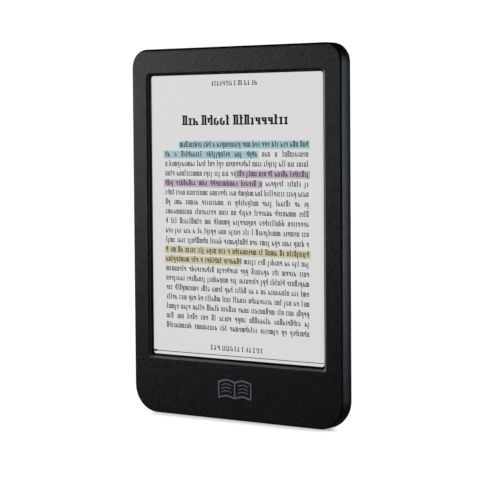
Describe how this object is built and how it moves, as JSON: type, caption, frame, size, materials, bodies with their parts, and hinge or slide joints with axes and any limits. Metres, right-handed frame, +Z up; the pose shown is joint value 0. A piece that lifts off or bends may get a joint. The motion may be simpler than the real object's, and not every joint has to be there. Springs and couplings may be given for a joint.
{
  "type": "e-reader",
  "caption": "Slim upright tablet reader with a recessed reflective screen in a deep-chinned rounded case, a charging socket below and a sprung button on the back.",
  "frame": {"origin": "middle of the bottom edge, at the level that the case stands on", "axes": "+Z up the screen, +X to the reader's right across the screen, +Y from the screen to the back"},
  "size_m": [0.112, 0.0092, 0.16],
  "materials": {
    "case_plastic": "black moulded plastic with a fine even grain",
    "button_plastic": "black moulded plastic, slightly smoother than the case",
    "seal_foam": "closed-cell foam",
    "seal_rubber": "soft silicone rubber",
    "black_tape": "thin double-sided tape",
    "clear_film": "clear film with a light anti-glare coat",
    "clear_adhesive": "clear glue sheet",
    "clear_guide": "clear polished sheet",
    "clear_pin": "clear moulded pin",
    "black_print": "black ink ring",
    "picture_sheet": "pale grey, matte like paper",
    "ink_sheet": "pale grey, matte",
    "panel_glass": "thin glass with a grey-green cast",
    "chip_resin": "dark moulding compound",
    "led_resin": "cream phosphor resin",
    "flex_amber": "amber flexible circuit",
    "chassis_aluminium": "pressed sheet, satin",
    "screw_steel": "plated steel",
    "board_laminate": "green solder mask on laminate",
    "socket_steel": "deep-drawn steel, satin",
    "socket_resin": "black moulded resin",
    "contact_brass": "gold-plated contacts",
    "cell_foil": "silver pouch foil, matte",
    "lead_insulation": "soft insulation",
    "connector_resin": "ivory moulded resin",
    "shield_steel": "pressed nickel-silver sheet",
    "capacitor_ceramic": "tan ceramic",
    "inductor_core": "dark ferrite",
    "cable_jacket": "thin black jacket",
    "dome_steel": "sprung steel sheet",
    "plunger_resin": "dark moulded resin"
  },
  "bodies": {
    "case": {"front_frame": "case_plastic", "back_cover": "case_plastic", "perimeter_seal": "seal_foam", "display_gasket": "black_tape", "touch_film": "clear_film", "optical_adhesive": "clear_adhesive", "light_guide": "clear_guide", "border_mask": "black_print", "colour_filter": "picture_sheet", "epaper_film": "ink_sheet", "backplane_glass": "panel_glass", "display_driver": "chip_resin", "display_tape": "black_tape", "light_leds": "led_resin", "light_strip": "flex_amber", "display_flex": "flex_amber", "touch_flex": "flex_amber", "chassis": "chassis_aluminium", "chassis_screws": "screw_steel", "board_screws": "screw_steel", "main_board": "board_laminate", "usb_shell": "socket_steel", "usb_tongue": "socket_resin", "usb_contacts": "contact_brass", "usb_seal": "seal_rubber", "battery_cell": "cell_foil", "battery_board": "board_laminate", "battery_adhesive": "black_tape", "foam_pads": "seal_foam", "battery_leads": "lead_insulation", "battery_plug": "connector_resin", "battery_socket": "connector_resin", "processor": "chip_resin", "memory_chip": "chip_resin", "storage_chip": "chip_resin", "power_chip": "chip_resin", "display_power_chip": "chip_resin", "hall_sensor": "chip_resin", "wireless_module": "shield_steel", "shield_can": "shield_steel", "chip_capacitors": "capacitor_ceramic", "inductors": "inductor_core", "display_connector": "connector_resin", "light_connector": "connector_resin", "touch_connector": "connector_resin", "indicator_connector": "connector_resin", "indicator_flex": "flex_amber", "indicator_led": "led_resin", "light_pipe": "clear_pin", "antenna_flex": "flex_amber", "antenna_plug": "contact_brass", "antenna_cable": "cable_jacket", "switch_body": "connector_resin", "switch_dome": "dome_steel"},
    "power_button": {"power_button": "button_plastic"},
    "switch_plunger": {"switch_plunger": "plunger_resin"}
  },
  "joints": [
    {"name": "power_button_press", "type": "slide", "parent": "case", "child": "power_button", "axis": [0, -1, 0], "range_m": [0, 0.00025], "stiffness_N_per_m": 4000, "springref_m": -0.0001, "deforming": ["switch_dome"]},
    {"name": "switch_plunger_press", "type": "slide", "parent": "case", "child": "switch_plunger", "axis": [0, -1, 0], "range_m": [0, 0.00025]}
  ],
  "couplings": [
    {"joint": "switch_plunger_press", "follows": "power_button_press", "ratio": 1}
  ]
}
